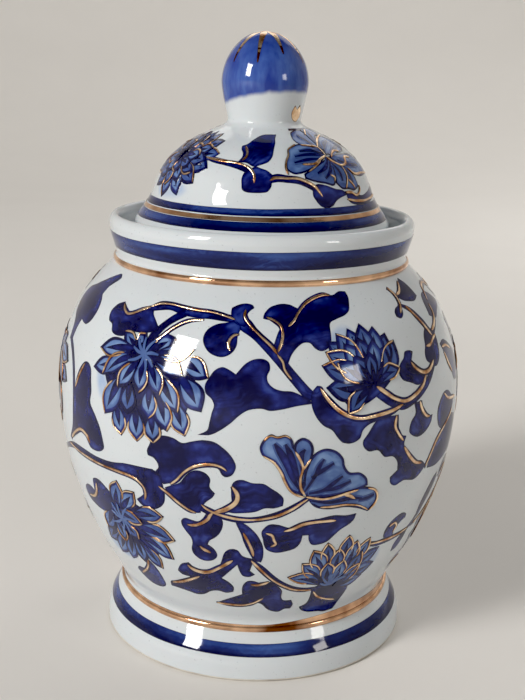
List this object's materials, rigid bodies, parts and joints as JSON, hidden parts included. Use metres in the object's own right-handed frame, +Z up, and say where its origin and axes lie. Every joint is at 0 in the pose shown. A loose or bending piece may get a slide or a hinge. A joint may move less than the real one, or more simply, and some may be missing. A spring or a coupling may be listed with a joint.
{
  "type": "lidded porcelain jar",
  "caption": "Ovoid blue-and-white lidded jar on a flared foot ring, with a galleried collar and a domed, loose lid with a bud knob.",
  "frame": {"origin": "centre of the foot ring, on the surface that the jar stands on", "axes": "+Z up along the axis that the jar and its lid were turned about; the main painted side faces -Y"},
  "size_m": [0.119, 0.119, 0.1775],
  "materials": {
    "porcelain": "glossy clear glaze over white porcelain",
    "cobalt_dark": "dark cobalt brushwork under a glossy glaze",
    "cobalt_pale": "pale washed cobalt under a glossy glaze",
    "gilding": "bright burnished gold line, slightly raised",
    "bare_foot": "unglazed, smooth, matt"
  },
  "bodies": {
    "jar": {"jar_body": "porcelain"},
    "lid": {"lid": "porcelain"}
  },
  "joints": [
    {"name": "lid_lift", "type": "slide", "parent": "jar", "child": "lid", "axis": [0, 0, 1], "range_m": [0, 0.02]}
  ]
}
